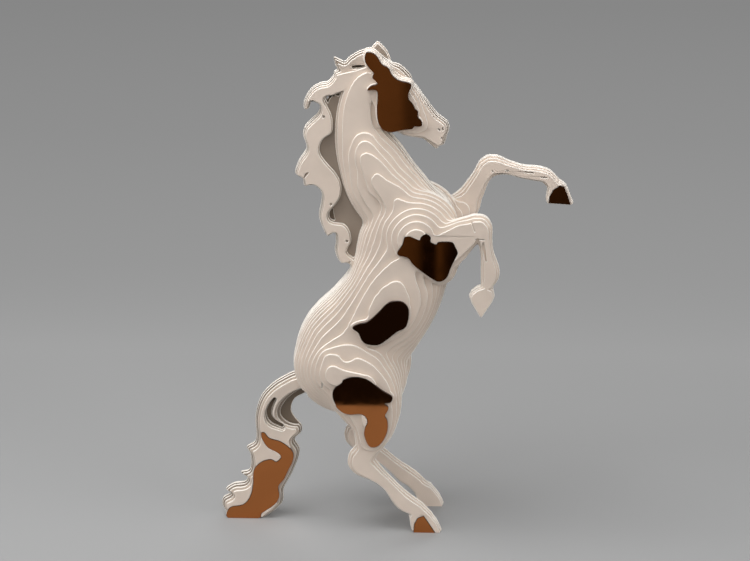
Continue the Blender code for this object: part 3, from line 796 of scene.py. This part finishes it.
def ramp(tree, value, stops):
    """Colours along a value between 0 and 1."""
    node = tree.nodes.new("ShaderNodeValToRGB")
    node.color_ramp.elements[0].position, node.color_ramp.elements[1].position = stops[0][0], stops[-1][0]
    for place, _ in stops[1:-1]:
        node.color_ramp.elements.new(place)
    for element, (_, colour) in zip(node.color_ramp.elements, stops):
        element.color = (*colour, 1.0)
    tree.links.new(value, node.inputs["Fac"])
    return node.outputs["Color"]


def add_bump(tree, shader, height, strength, distance):
    """Bump from a height value."""
    bump = tree.nodes.new("ShaderNodeBump")
    bump.inputs["Strength"].default_value = strength
    bump.inputs["Distance"].default_value = distance
    tree.links.new(height, bump.inputs["Height"])
    tree.links.new(bump.outputs["Normal"], shader.inputs["Normal"])


# %% The two paints: faces and cut edges
PAINT = (0.76, 0.64, 0.545)
# Painted highlight: the cut edges are a lighter cream than the faces, for the light they catch.
EDGE_HIGHLIGHT_PAINT = (0.90, 0.84, 0.77)
WHITE = (1.0, 1.0, 1.0)
# Painted shade: the faces of the innermost sheets turn darker near the middle plane, deep in the hollows.
PAINTED_SHADE_TONES = [(0.003, (0.24, 0.22, 0.19)), (0.007, (0.32, 0.295, 0.265)), (0.009, WHITE)]
ROUGHNESS_SPREAD = 0.06
PAINT_SHEEN = 0.3
DARKER, LIGHTER = 0.95, 1.03
RAMP_START, RAMP_END = 0.3, 0.7
TONE_NOISE = (35.0, 3.0)
DULL_NOISE = (220.0, 2.0)
GRAIN_NOISE = (1400.0, 2.0)
GRAIN_DEPTH = 0.0002


def shade(colour, factor):
    """A colour made lighter or darker."""
    return tuple(channel * factor for channel in colour)


def add_painted_shade_in_hollows(tree, colour):
    """The colour with painted shade: darker on the innermost sheets, deep in the hollows."""
    depth = tree.nodes.new("ShaderNodeMath")
    depth.operation = "ABSOLUTE"
    tree.links.new(along_axis(tree, "Object", "Y"), depth.inputs[0])
    painted_shade = ramp(tree, depth.outputs["Value"], PAINTED_SHADE_TONES)
    mix = tree.nodes.new("ShaderNodeMix")
    mix.data_type = "RGBA"
    mix.blend_type = "MULTIPLY"
    mix.inputs["Factor"].default_value = 1.0
    tree.links.new(colour, mix.inputs["A"])
    tree.links.new(painted_shade, mix.inputs["B"])
    return mix.outputs["Result"]


def paint(name, colour, grain, roughness, with_painted_shade):
    """Matte paint with a fine grain and slow changes of tone, and painted shade in the hollows if asked."""
    material, tree, shader = new_material(name)
    tones = [(RAMP_START, shade(colour, DARKER)), (RAMP_END, shade(colour, LIGHTER))]
    tone = ramp(tree, noise(tree, *TONE_NOISE), tones)
    # Painted shade on the innermost sheets, deep in the hollows.
    if with_painted_shade:
        tone = add_painted_shade_in_hollows(tree, tone)
    tree.links.new(tone, shader.inputs["Base Color"])
    smoother, rougher = (roughness - ROUGHNESS_SPREAD,) * 3, (roughness + ROUGHNESS_SPREAD,) * 3
    dull = ramp(tree, noise(tree, *DULL_NOISE), [(RAMP_START, smoother), (RAMP_END, rougher)])
    tree.links.new(dull, shader.inputs["Roughness"])
    shader.inputs["Specular IOR Level"].default_value = PAINT_SHEEN
    add_bump(tree, shader, noise(tree, *GRAIN_NOISE), grain, GRAIN_DEPTH)
    return material


face_paint = paint("cream_paint", PAINT, 0.25, 0.6, with_painted_shade=True)
# The edges get the lighter cream as a painted highlight, and more roughness.
edge_highlight_paint = paint("cream_paint_with_painted_highlight_on_edges", EDGE_HIGHLIGHT_PAINT, 0.5, 0.7, with_painted_shade=False)

# %% [markdown]
# ## Cut every sheet
#
# Each sheet of the drawing is traced, and its islands are matched with the
# CAD nodes of the same sheet by where they lie. One piece is made for each
# node, so the CAD model and the visible horse keep the same parts.

# %% Match islands with nodes
def sheet_name(index):
    """A sheet's name, counted outward from the centre."""
    if index == 0:
        return "centre_sheet"
    return f"{'right' if index < 0 else 'left'}_sheet_{abs(index):02d}"


def within_cad(ring, shift):
    """The ring, kept inside the length and height of the CAD model."""
    low, high = (np.array((corner[0] / UNIT - shift, corner[2] / UNIT)) for corner in cad_box)
    return np.clip(ring, low, high)


def box_miss(outer, node, shift):
    """How far a ring's box differs from a node's box."""
    low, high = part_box(node)
    return (abs(outer[:, 0].min() + shift - low[0] / UNIT) + abs(outer[:, 0].max() + shift - high[0] / UNIT)
            + abs(outer[:, 1].min() - low[2] / UNIT) + abs(outer[:, 1].max() - high[2] / UNIT))


flank_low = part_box("right_flank_mirror_plate")[0]
SHIFT = flank_low[0] / UNIT - patch_ring("right_flank")[:, 0].min()
print("the drawing moves", round(SHIFT, 2), "mm along X")

# %% Cut and place the sheets
LAST_SHEET = 14
for index in range(-LAST_SHEET, LAST_SHEET + 1):
    base = sheet_name(index)
    nodes = sorted(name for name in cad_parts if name.startswith(base) and "mirror" not in name)
    shapes = {name: [] for name in nodes}
    for outer, holes in islands(sheet_field(index)):
        best = min(nodes, key=lambda name: box_miss(outer, name, SHIFT))
        shapes[best].append([within_cad(outer, SHIFT), *holes])
    for name, parts in shapes.items():
        if not parts:
            print("nothing cut for", name)
            continue
        mesh = board_mesh(f"{name}_board", parts, index * PITCH, SHEET_THICKNESS, EDGE_BREAK, SHIFT)
        add_piece(f"{name}_board", mesh, [face_paint, edge_highlight_paint], [name])
        print(name, len(parts), "shapes,", len(mesh.polygons), "faces")

# %% [markdown]
# ## Bronze mirror
#
# The plates are a bronze-tinted mirror: almost a clean reflection, dyed
# brown. On the real one they look black where they face a dark room and
# copper where they face the lit floor, so the colour is left to the
# reflection. A faint haze keeps it from looking computed.

# %% Mirror and its cut edge
BRONZE = (0.56, 0.20, 0.063)
BRONZE_TONES = [(0.3, shade(BRONZE, 0.97)), (0.7, shade(BRONZE, 1.03))]
BRONZE_NOISE = (25.0, 2.0)
HAZE_TONES = [(0.35, (0.03,) * 3), (0.75, (0.07,) * 3)]
HAZE_NOISE = (90.0, 3.0)
RIM_TONES = [(0.3, (0.020, 0.009, 0.005)), (0.7, (0.045, 0.020, 0.010))]
RIM_NOISE = (300.0, 2.0)
RIM_ROUGHNESS = 0.45


def mirror(name):
    """Bronze mirror with a faint haze."""
    material, tree, shader = new_material(name)
    shader.inputs["Metallic"].default_value = 1.0
    tint = ramp(tree, noise(tree, *BRONZE_NOISE), BRONZE_TONES)
    tree.links.new(tint, shader.inputs["Base Color"])
    haze = ramp(tree, noise(tree, *HAZE_NOISE), HAZE_TONES)
    tree.links.new(haze, shader.inputs["Roughness"])
    return material


mirror_face = mirror("bronze_mirror")
mirror_rim, rim_tree, rim_shader = new_material("cut_edge_of_the_mirror")
rim_tone = ramp(rim_tree, noise(rim_tree, *RIM_NOISE), RIM_TONES)
rim_tree.links.new(rim_tone, rim_shader.inputs["Base Color"])
rim_shader.inputs["Roughness"].default_value = RIM_ROUGHNESS

# %% Place the mirror plates
MIRROR_EDGE = 0.15
MIRROR_TOLERANCE = 0.02
for name, (y, facing, _, _, _) in PATCHES.items():
    node = f"{name}_mirror_plate"
    low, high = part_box(node)
    ring = patch_ring(name)
    if ring_area(ring) < 0:
        ring = ring[::-1]
    ring = simplified(ring, MIRROR_TOLERANCE)
    middle, thick = (low[1] + high[1]) / 2 / UNIT, (high[1] - low[1]) / UNIT
    mesh = board_mesh(f"{name}_mirror", [[ring]], middle, thick, MIRROR_EDGE, SHIFT)
    add_piece(f"{name}_mirror", mesh, [mirror_face, mirror_rim], [node])
    print(name, "plate,", round(thick, 2), "mm thick")

# %% [markdown]
# ## Studio
#
# The horse stands on a wide sheet of pale grey paper. There is no wall to hide
# it from a camera that walks around it. The paper runs on into the distance
# instead, where a lamp of its own would light it. A faint glow in the paper
# does the work of that lamp, and fades the way the backdrop of the photograph
# does.
#
# The upper mirrors of the real horse show a dark room, as if the paper ended a
# little in front of it. So the front part of the paper is a sheet of its own,
# which the camera sees and the mirrors don't, and which throws no light back.

# %% Floor and backdrop
FLOOR_EDGE = -0.49
FLOOR_REACH = 9.0
HALF_WIDTH = 9.0
FLOOR_GREY = (0.360, 0.361, 0.362)
PAPER_ROUGHNESS = 0.9
PAPER_SHEEN = 0.1
BACK_TONES = [(0.25, 1.0), (1.0, 0.05)]
BACK_GLOW = [(0.25, 0.0), (0.6, 0.17), (1.0, 0.29), (1.8, 0.26), (3.0, 0.235)]
FRONT_TONES = [(-1.3, 0.05), (-0.5, 1.0)]
FRONT_GLOW = [(-3.0, 0.235), (-1.8, 0.26), (-1.3, 0.28), (-0.9, 0.15), (-0.5, 0.0)]


def stage_card(name, corners):
    """A flat four-cornered thing of the studio, with its material's tree and shader."""
    mesh = bpy.data.meshes.new(name)
    mesh.from_pydata(corners, [], [[0, 1, 2, 3]])
    card = bpy.data.objects.new(name, mesh)
    bpy.context.collection.objects.link(card)
    material, tree, shader = new_material(name)
    mesh.materials.append(material)
    shader.inputs["Emission Strength"].default_value = 1.0
    return card, tree, shader


def along_floor(front, back, tones, colour):
    """Stops of a ramp over a sheet's length, from places in metres."""
    return [((y - front) / (back - front), shade(colour, tone)) for y, tone in tones]


def paper_sheet(name, front, back, tones, glow):
    """A sheet of grey paper that fades from lit paper to glowing paper."""
    corners = [(-HALF_WIDTH, front), (HALF_WIDTH, front), (HALF_WIDTH, back), (-HALF_WIDTH, back)]
    sheet, tree, shader = stage_card(name, [(x, y, 0.0) for x, y in corners])
    place = along_axis(tree, "Generated", "Y")
    paper_tone = ramp(tree, place, along_floor(front, back, tones, FLOOR_GREY))
    paper_glow = ramp(tree, place, along_floor(front, back, glow, WHITE))
    tree.links.new(paper_tone, shader.inputs["Base Color"])
    tree.links.new(paper_glow, shader.inputs["Emission Color"])
    shader.inputs["Roughness"].default_value = PAPER_ROUGHNESS
    shader.inputs["Specular IOR Level"].default_value = PAPER_SHEEN
    return sheet


paper_sheet("grey_paper", FLOOR_EDGE, FLOOR_REACH, BACK_TONES, BACK_GLOW)
front_paper = paper_sheet("grey_paper_in_front", -FLOOR_REACH, FLOOR_EDGE, FRONT_TONES, FRONT_GLOW)
front_paper.visible_glossy = False
front_paper.visible_diffuse = False
print("paper from", -FLOOR_REACH, "to", FLOOR_REACH, "m")

# %% [markdown]
# A wide soft light hangs over the horse, a larger one leans in from the front,
# and one on each side fills the shade. A last one behind the horse is for
# whoever walks around it. The rest of the room gives only a little light. The
# camera doesn't see the lights themselves.

# %% Lights
LIT_PLACE = Vector((0.0, 0.0, 0.3))
ROOM_LIGHT = (0.012, 0.011, 0.010)
SOFTBOXES = {
    "top_softbox": ((-0.5, -0.2, 1.8), (1.2, 1.0), 22.0),
    "front_softbox": ((-0.2, -2.4, 1.9), (3.4, 1.6), 34.0),
    "left_softbox": ((-1.7, -0.7, 0.9), (1.4, 1.6), 12.0),
    "right_softbox": ((1.7, -0.7, 0.9), (1.4, 1.6), 16.0),
    "back_softbox": ((0.4, 2.4, 1.9), (2.4, 1.2), 24.0),
}


def area_light(name, place, size, power):
    """A soft rectangular light that faces the horse."""
    data = bpy.data.lights.new(name, "AREA")
    data.shape = "RECTANGLE"
    data.size, data.size_y = size
    data.energy = power
    light = bpy.data.objects.new(name, data)
    light.location = place
    light.rotation_euler = (LIT_PLACE - Vector(place)).to_track_quat("-Z", "Y").to_euler()
    light.visible_camera = False
    bpy.context.collection.objects.link(light)


for name, (place, size, power) in SOFTBOXES.items():
    area_light(name, place, size, power)
    print(name, power, "W")

world = bpy.data.worlds.new("dark_room")
world.use_nodes = True
world.node_tree.nodes["Background"].inputs["Color"].default_value = (*ROOM_LIGHT, 1.0)
bpy.context.scene.world = world

# %% [markdown]
# ## Camera
#
# The photograph looks at the horse from almost straight beside it and a little
# above. A long lens three metres away gives the same view.

# %% Camera
CAMERA_DISTANCE = 3.0
CAMERA_AZIMUTH = math.radians(2.0)
CAMERA_ELEVATION = math.radians(18.5)
FOCAL_PIXELS = 2490.0
FRAME_WIDTH = 750.0
SENSOR_WIDTH = 36.0
TARGET = Vector((SHIFT * UNIT, 0.0, 0.30825))

camera_data = bpy.data.cameras.new("camera")
camera_data.sensor_width = SENSOR_WIDTH
camera_data.lens = FOCAL_PIXELS / FRAME_WIDTH * SENSOR_WIDTH
camera = bpy.data.objects.new("camera", camera_data)
away = Vector((math.sin(CAMERA_AZIMUTH) * math.cos(CAMERA_ELEVATION),
               -math.cos(CAMERA_AZIMUTH) * math.cos(CAMERA_ELEVATION), math.sin(CAMERA_ELEVATION)))
camera.location = TARGET + away * CAMERA_DISTANCE
camera.rotation_euler = (-away).to_track_quat("-Z", "Y").to_euler()
bpy.context.collection.objects.link(camera)
bpy.context.scene.camera = camera
bpy.context.scene.view_settings.view_transform = "Standard"
print("lens of", round(camera_data.lens, 1), "mm")

# %% [markdown]
# A mirror is only as good as what it shows. Seen from the camera, the plates
# on cheek, shoulder and raised hoof look into the dark room, where a faint
# brown glimmer shows. Cards with a faint glow stand in for it, each placed
# where the camera's rays go after the plate has turned them back. The camera
# doesn't see the cards themselves.

# %% Cards that the mirrors show
CARD_Y = -1.2
CARD_TINT = (0.126, 0.106, 0.070)
BLACK = (0.0, 0.0, 0.0, 1.0)
CARDS = {
    "card_for_the_cheek": (-0.024, (-20, 480), (62, 612), [
        (0.0, 0.85), (0.3, 1.0), (0.6, 0.9), (0.72, 0.35),
    ]),
    "card_for_the_shoulder": (-0.050, (22, 316), (104, 392), [
        (0.06, 0.62), (0.34, 0.50), (0.45, 0.05), (0.60, 0.05), (0.68, 0.62), (0.76, 0.2), (0.84, 0.05),
    ]),
    "card_for_the_raised_hoof": (0.028, (200, 392), (244, 430), [(0.0, 0.25), (1.0, 0.2)]),
}


def seen_in_mirror(x, z, plate_y):
    """Where the cards' plane shows in a plate, for a place on the plate in the drawing."""
    place = Vector(((x + SHIFT) * UNIT, plate_y, z * UNIT))
    ray = place - camera.location
    ray.y = -ray.y
    return place + ray * ((CARD_Y - place.y) / ray.y)


def mirror_card(name, plate_y, low, high, stops):
    """A faintly glowing card whose colour changes along its length."""
    corners = [seen_in_mirror(x, z, plate_y) for x, z in (low, (high[0], low[1]), high, (low[0], high[1]))]
    card, tree, shader = stage_card(name, corners)
    place = along_axis(tree, "Generated", "X")
    glow = ramp(tree, place, [(share, shade(CARD_TINT, level)) for share, level in stops])
    tree.links.new(glow, shader.inputs["Emission Color"])
    shader.inputs["Base Color"].default_value = BLACK
    card.visible_camera = False


for name, (plate_y, low, high, stops) in CARDS.items():
    mirror_card(name, plate_y, low, high, stops)
print(len(CARDS), "cards")
